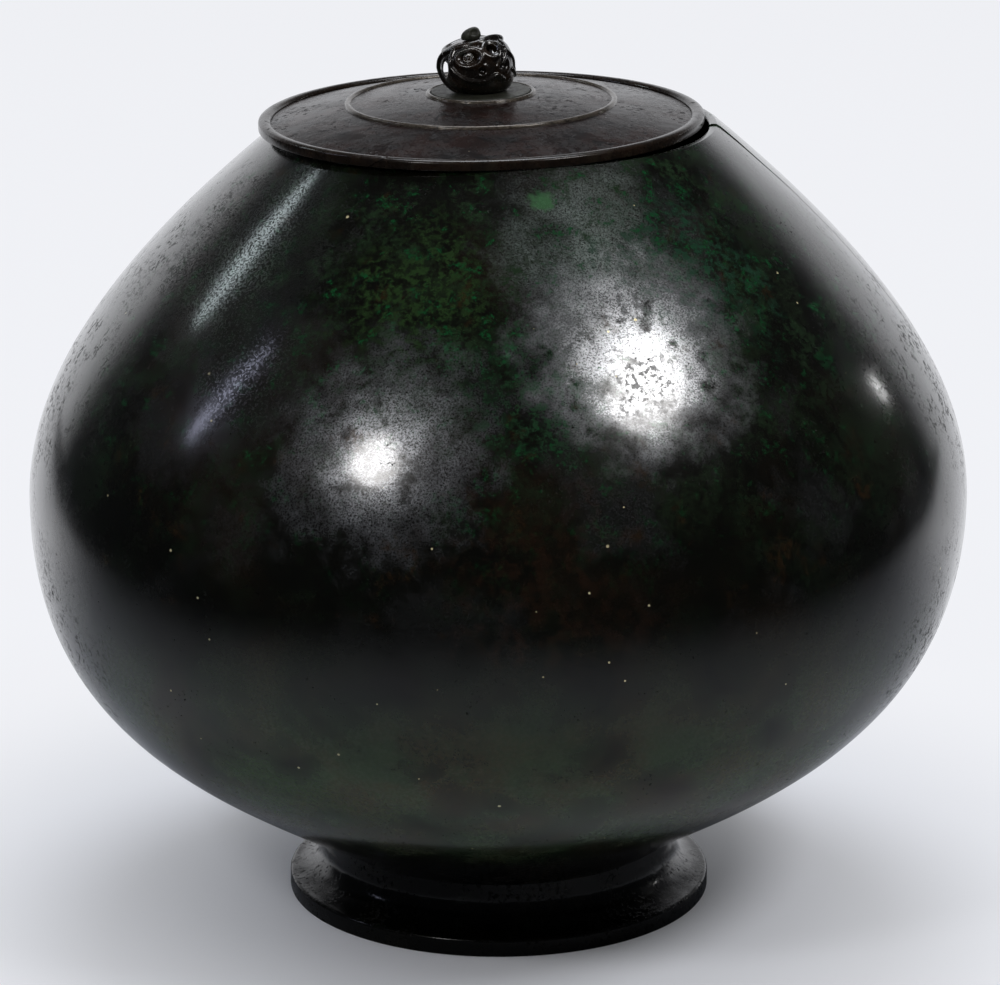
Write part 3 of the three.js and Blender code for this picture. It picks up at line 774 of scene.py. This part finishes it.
def ballLevel(place, half):
    power = np.where(place[..., 2] < 0, *knobForm["fullness"])
    flat = np.hypot(place[..., 0] / half[0], place[..., 1] / half[1])
    return (flat ** power + np.abs(place[..., 2] / half[2]) ** power) ** (1 / power)


def onKnob(turn, rise, lift=0):
    turn, rise = np.radians(turn), np.radians(rise)
    way = np.stack([np.cos(rise) * np.sin(turn), -np.cos(rise) * np.cos(turn), np.sin(rise)], -1)
    return way * (1 / ballLevel(way, knobHalf) + lift)[..., None]


def ballField(grid, thinner=0):
    half = knobHalf - thinner
    return (ballLevel(grid, half) - 1) * half.min()


def stemField(grid, low, step, line, radius):
    far = 3.0  # further off a stem has no pull
    field = np.full(grid.shape[:3], far)
    for start, end in zip(line[:-1], line[1:]):
        first = np.maximum(((np.minimum(start, end) - radius - far - low) / step).astype(int), 0)
        last = ((np.maximum(start, end) + radius + far - low) / step).astype(int) + 2
        block = tuple(slice(a, b) for a, b in zip(first, last))
        along = end - start
        share = np.clip((grid[block] - start) @ along / (along @ along), 0, 1)
        away = np.linalg.norm(grid[block] - start - share[..., None] * along, axis=-1) - radius
        field[block] = np.minimum(field[block], away)
    return field


def smoothLine(marks, steps=8):
    # a curve through the marks, passing each smoothly
    marks = np.vstack([2 * marks[0] - marks[1], marks, 2 * marks[-1] - marks[-2]])
    t = np.linspace(0, 1, steps, endpoint=False)[:, None]
    parts = []
    for a, b, c, d in zip(marks, marks[1:], marks[2:], marks[3:]):
        parts.append(0.5 * (2 * b + (c - a) * t + (2 * a - 5 * b + 4 * c - d) * t ** 2
                            + (3 * b - a - 3 * c + d) * t ** 3))
    return np.vstack(parts + [marks[-2:-1]])


def knobSurface(form):
    low = np.array([-knobHalf[0], -knobHalf[1], -form["centre"]]) - form["margin"]
    high = np.array([knobHalf[0], knobHalf[1], form["headroom"] * form["crown"]]) + form["margin"]
    step = form["step"]
    place = fieldGrid(low, high, step)
    grid = place.copy()
    grid[..., 2] /= np.where(grid[..., 2] > 0, 1 + form["skew"] * grid[..., 0], 1)
    grid[..., 0] += form["shear"] * np.minimum(grid[..., 2], 0)
    ball = ballField(grid)
    hollow = np.maximum(ballField(grid, form["shell"]), form["floor"] - form["centre"] - grid[..., 2])
    field = smoothCut(ball, hollow, form["cutBlend"])
    slit = form["slit"]
    drop = math.radians(slit["drop"])
    away = place - slit["place"]
    level = away[..., 2] + away[..., 1] * math.tan(drop)
    across = np.stack([away[..., 0], away[..., 1], level], -1) / slit["half"]
    field = smoothCut(field, (np.linalg.norm(across, axis=-1) - 1) * min(slit["half"]), form["cutBlend"])
    for turn, rise, wide, tall, twist, deep in form["openings"]:
        middle = onKnob(turn, rise)
        aim = Matrix.Rotation(math.radians(turn), 3, "Z") @ Matrix.Rotation(
            math.radians(90 - rise), 3, "X") @ Matrix.Rotation(math.radians(twist), 3, "Z")
        local = (grid - middle) @ np.array(aim)
        size = np.array([wide, tall, deep])
        hole = (np.linalg.norm(local / size, axis=-1) - 1) * min(wide, tall)
        field = smoothCut(field, hole, form["openingBlend"])
    boss = form["boss"]
    pellet = np.linalg.norm(grid - onKnob(boss["turn"], boss["rise"], boss["lift"]), axis=-1) - boss["radius"]
    field = smoothJoin(field, pellet, form["cutBlend"])
    circle = np.linspace(0, 2 * math.pi, form["loopSteps"] + 1)
    for turn, rise, wide, tall, thick in form["loops"]:
        line = onKnob(turn + wide * np.cos(circle), rise + tall * np.sin(circle), form["loopLift"])
        field = smoothJoin(field, stemField(grid, low, step, line, thick), form["loopBlend"])
    for thick, marks in form["stems"]:
        turn, rise = smoothLine(np.array(marks, float)).T
        line = onKnob(turn, rise, form["stemLift"])
        field = smoothJoin(field, stemField(grid, low, step, line, thick), form["stemBlend"])
    bore = np.hypot(place[..., 0] + form["lean"], place[..., 1]) - lidForm["bore"]
    bore = np.maximum(bore, place[..., 2] + form["centre"] - form["boreDepth"])
    field = np.maximum(field, -bore)
    field = np.maximum(field, -form["centre"] - place[..., 2])
    points, faces = fieldSurface(field, low, step)
    return points + [form["lean"], 0, knobBottom + form["centre"]], faces


knobPoints, knobFaces = knobSurface(knobForm)
addPiece("finialKnob", onLid(knobPoints), knobFaces, castBronze, "lid", "knob_bronze", "finial_knob")


# Bud: an oval pellet, blunt at its right end
budForm = {
    "length": 7, "depth": 5.2, "thickness": 4.8, "tilt": 22, "side": -1.8, "sink": 0.9, "padDepth": 0.8,
    "step": 0.2, "dent": (1.2, -2.3, 1.6), "dentRadius": 1.3, "dentBlend": 0.8,
    "margin": 1.2, "bluntness": (2.8, 2), "knobTop": 10.2,
}


def budSurface(form):
    half = np.array([form["length"], form["depth"], form["thickness"]]) / 2
    low = -half - form["margin"]
    place = fieldGrid(low, -low, form["step"])
    turn = math.radians(form["tilt"])
    along = place[..., 0] * math.cos(turn) + place[..., 2] * math.sin(turn)
    up = place[..., 2] * math.cos(turn) - place[..., 0] * math.sin(turn)
    blunt = np.where(along > 0, *form["bluntness"])
    level = (np.abs(along / half[0]) ** blunt + np.abs(place[..., 1] / half[1]) ** blunt
             + np.abs(up / half[2]) ** blunt) ** (1 / blunt)
    field = (level - 1) * half.min()
    dent = np.linalg.norm(place - form["dent"], axis=-1) - form["dentRadius"]
    field = smoothCut(field, dent, form["dentBlend"])
    seat = -half[2] + form["sink"]
    field = np.maximum(field, seat - place[..., 2])
    points, faces = fieldSurface(field, low, form["step"])
    padTop = knobBottom + knobForm["centre"] + form["knobTop"] - form["padDepth"]
    return points + [knobForm["lean"] + form["side"], 0, padTop + lidForm["film"] - seat], faces


budPoints, budFaces = budSurface(budForm)
addPiece("finialBud", onLid(budPoints), budFaces, filedBronze, "lid", "seat_bronze", "finial_bud")

for name in ("base_plate", "finial_tang", "tang_washer"):
    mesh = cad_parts[name].data
    mesh.materials.clear()
    mesh.materials.append(tarnishedBronze)
print("pieces made")


# Floor: white cloth over a table

floorForm = {
    "front": -3600, "back": 4200, "side": 3600, "columns": 80,
    "sink": 0.1, "swell": (420, 2.0, 41), "clear": 260,  # the cloth lies flat this near the urn
}


def floorPoints(form):
    x, y = np.meshgrid(np.linspace(-form["side"], form["side"], form["columns"]),
                       np.linspace(form["front"], form["back"], form["columns"]), indexing="xy")
    points = np.stack([x, y, 0 * x - form["sink"]], -1)
    away = np.clip(np.hypot(x, y) / form["clear"] - 1, 0, 1)
    points[..., 2] -= away * np.abs(roll(points, *form["swell"]))
    return points


# Bleached cotton, woven and laid loosely: a matt, faintly blue white
clothForm = {
    "colour": "#EAEDF5", "shade": "#E3E7F0", "driftSize": 333,
    "threadSize": 1.2, "threadDepth": 0.1,  # thread drawn coarser than it is, to show
    "roughness": 0.95, "specular": 0.1, "napStrength": 0.2,
    "paper": "#F4F5F9", "paperFrom": 20, "paperTo": 290, "paperShare": 0.92,  # where it turns to white paper
    # painted reflection: the dark colour that reflections show past the table edges, and the share of lit
    # cloth that they keep
    "dark": "#232529", "edgeFade": 170, "mirrorShare": 0.48, "behindTo": 360,
    "tableEdges": [((0.864, 0.505, 0), 415), ((-0.8, 0.6, 0), 432), ((0, 1, 0), 430)],  # way in, distance
}
clothNoise = {"Detail": 3}
cotton = bpy.data.materials.new("bleachedCottonCloth")
cotton.use_nodes = True
clothTree = cotton.node_tree
clothWhere = addNode(clothTree, "TexCoord").outputs["Object"]
weave = addNode(clothTree, "TexNoise", {
    "Vector": clothWhere, "Scale": 1 / (clothForm["threadSize"] * mm), **clothNoise})
drift = addNode(clothTree, "TexNoise", {
    "Vector": clothWhere, "Scale": 1 / (clothForm["driftSize"] * mm), **clothNoise})
tint = addNode(clothTree, "Mix", {
    0: drift, 6: linear(clothForm["colour"]), 7: linear(clothForm["shade"])}, **colourMix)
nap = addNode(clothTree, "Bump", {
    "Height": weave, "Strength": clothForm["napStrength"], "Distance": clothForm["threadDepth"] * mm})
clothShader = clothTree.nodes["Principled BSDF"]
setInputs(clothTree, clothShader, {
    "Base Color": tint.outputs[2], "Normal": nap, "Roughness": clothForm["roughness"],
    "Specular IOR Level": clothForm["specular"]})
# far off the cloth is seen as evenly lit paper, by the camera and in reflections, and that lights nothing
away = addNode(clothTree, "VectorMath", {0: clothWhere}, operation="LENGTH")
far = addNode(clothTree, "MapRange", {
    "Value": away.outputs["Value"], "From Min": clothForm["paperFrom"] * mm,
    "From Max": clothForm["paperTo"] * mm, "To Max": clothForm["paperShare"]}, **softStep)
clothRay = addNode(clothTree, "LightPath")
# painted reflection: in reflections the cloth is dimmer and ends at the edges of a table that widens to the
# back, in a dark room, drawn by a dark emission that only reflections see
table = clothForm["mirrorShare"]
for across, edge in clothForm["tableEdges"]:
    inside = addNode(clothTree, "VectorMath", {0: clothWhere, 1: across}, operation="DOT_PRODUCT")
    fade = addNode(clothTree, "MapRange", {
        "Value": inside.outputs["Value"], "From Min": (-edge - clothForm["edgeFade"]) * mm,
        "From Max": (-edge + clothForm["edgeFade"]) * mm}, **softStep)
    table = addNode(clothTree, "Math", {0: fade, 1: table}, operation="MULTIPLY")
offTable = addNode(clothTree, "Math", {0: 1.0, 1: table}, operation="SUBTRACT")
darkShare = addNode(clothTree, "Math", {0: clothRay.outputs["Is Glossy Ray"], 1: offTable},
                    operation="MULTIPLY")
dark = addNode(clothTree, "Emission", {"Color": linear(clothForm["dark"]), "Strength": 1.0})
dimmed = addNode(clothTree, "MixShader", {0: darkShare, 1: clothShader, 2: dark})
behindUrn = addNode(clothTree, "MapRange", {
    "Value": addNode(clothTree, "SeparateXYZ", {0: clothWhere}).outputs["Y"],
    "From Min": 0.0, "From Max": clothForm["behindTo"] * mm}, **softStep)
onTable = addNode(clothTree, "Math", {0: table, 1: behindUrn}, operation="MULTIPLY")
mirrored = addNode(clothTree, "Math", {0: onTable, 1: clothRay.outputs["Is Glossy Ray"]},
                   operation="MULTIPLY")
mirroredPaper = addNode(clothTree, "Math", {0: mirrored, 1: 1 / clothForm["mirrorShare"]},
                        operation="MULTIPLY")
looking = addNode(clothTree, "Math", {0: clothRay.outputs["Is Camera Ray"], 1: mirroredPaper},
                  operation="MAXIMUM")
paperShare = addNode(clothTree, "Math", {0: far, 1: looking}, operation="MULTIPLY")
paper = addNode(clothTree, "Emission", {"Color": linear(clothForm["paper"]), "Strength": 1.0})
clothMix = addNode(clothTree, "MixShader", {0: paperShare, 1: dimmed, 2: paper})
setInputs(clothTree, clothTree.nodes["Material Output"], {"Surface": clothMix})

floorGrid = floorPoints(floorForm)
floorFaces = gridFaces(*floorGrid.shape[:2], closeRows=False, closeColumns=False)
floor = addObject("clothFloor", smoothMesh("clothFloor", floorGrid, floorFaces, cotton))
print("floor made")


# Light: a pale backdrop behind the urn, a dark room in front of it and a few soft lamps

studio = {
    "paper": "#F2F3F7", "room": "#2A2C30", "aimHeight": 180,
    "backdropHalf": (51, 35), "backdropTop": (30, 15), "backdropLevel": 1.0,  # degrees where it fades in
    # turn from the front to the right, rise, distance, width, height, tilt, radiance and colour
    "lamps": {
        "keyLamp": (53.7, 51, 2.0, 0.7, 0.5, 15, 17, "#FFFDFC"),
        "sideLamp": (-35, 39, 2.0, 0.36, 0.37, 0, 24.5, "#FFFDFC"),
        "stripLamp": (-120, 37, 2.0, 0.17, 0.56, 40, 7.4, "#E2F0F4"),
        "fillStrip": (-88.5, 34.5, 2.0, 0.12, 0.74, 0, 8, "#DEE2FF"),
        "rimLamp": (121, 15, 2.0, 0.07, 0.14, 0, 14, "#FFFFFF"),
        "overheadLamp": (180, 68, 2.4, 1.4, 1.0, 0, 7.5, "#F6F9FF"),
    },
}


def addLamp(name, lamp):
    turn, rise, distance, width, height, tilt, radiance, colour = lamp
    turn, rise = math.radians(turn), math.radians(rise)
    light = bpy.data.lights.new(name, "AREA")
    light.shape = "ELLIPSE"
    light.size, light.size_y = width, height
    light.energy = radiance * math.pi * (math.pi / 4 * width * height)
    light.color = linear(colour)[:3]
    lampObject = addObject(name, light)
    way = Vector((math.sin(turn) * math.cos(rise), -math.cos(turn) * math.cos(rise), math.sin(rise)))
    lampObject.location = way * distance + Vector((0, 0, studio["aimHeight"] * mm))
    aim = (-way).to_track_quat("-Z", "Y").to_matrix()
    lampObject.rotation_euler = (aim @ Matrix.Rotation(math.radians(tilt), 3, "Z")).to_euler()


for name, lamp in studio["lamps"].items():
    addLamp(name, lamp)

world = bpy.data.worlds.new("studio")
world.use_nodes = True
bpy.context.scene.world = world
sky = world.node_tree
way = addNode(sky, "TexCoord").outputs["Generated"]
wayParts = addNode(sky, "SeparateXYZ", {0: way})
flatWay = addNode(sky, "CombineXYZ", {"X": wayParts.outputs["X"], "Y": wayParts.outputs["Y"]})
flatUnit = addNode(sky, "VectorMath", {0: flatWay}, operation="NORMALIZE")
backdropEdge = [math.cos(math.radians(half)) for half in studio["backdropHalf"]]
facing = addNode(sky, "VectorMath", {0: flatUnit, 1: (0, 1, 0)}, operation="DOT_PRODUCT")
behind = addNode(sky, "MapRange", {
    "Value": facing.outputs["Value"], "From Min": backdropEdge[0], "From Max": backdropEdge[1]}, **softStep)
under = addNode(sky, "MapRange", {
    "Value": wayParts.outputs["Z"], "From Min": math.sin(math.radians(studio["backdropTop"][0])),
    "From Max": math.sin(math.radians(studio["backdropTop"][1]))}, **softStep)
share = addNode(sky, "Math", {0: behind, 1: under}, operation="MULTIPLY")
ray = addNode(sky, "LightPath")
seen = addNode(sky, "Math", {0: share, 1: ray.outputs["Is Camera Ray"]}, operation="MAXIMUM")
tone = addNode(sky, "Mix", {0: seen, 6: linear(studio["room"]), 7: linear(studio["paper"])}, **colourMix)
setInputs(sky, sky.nodes["Background"], {"Color": tone.outputs[2], "Strength": studio["backdropLevel"]})
print("lamps and world made")


# Camera, as the photograph was taken

photoView = {"side": 0.45, "distance": 1543.45, "height": 602.53, "pitch": 16.48, "lens": 163.8, "sensor": 36}
cameraData = bpy.data.cameras.new("photoCamera")
cameraData.lens = photoView["lens"]
cameraData.sensor_width = photoView["sensor"]
camera = addObject("photoCamera", cameraData)
camera.location = Vector((photoView["side"], -photoView["distance"], photoView["height"])) * mm
camera.rotation_euler = (math.radians(90 - photoView["pitch"]), 0, 0)
bpy.context.scene.camera = camera
bpy.context.scene.view_settings.view_transform = "Standard"
print("camera placed")
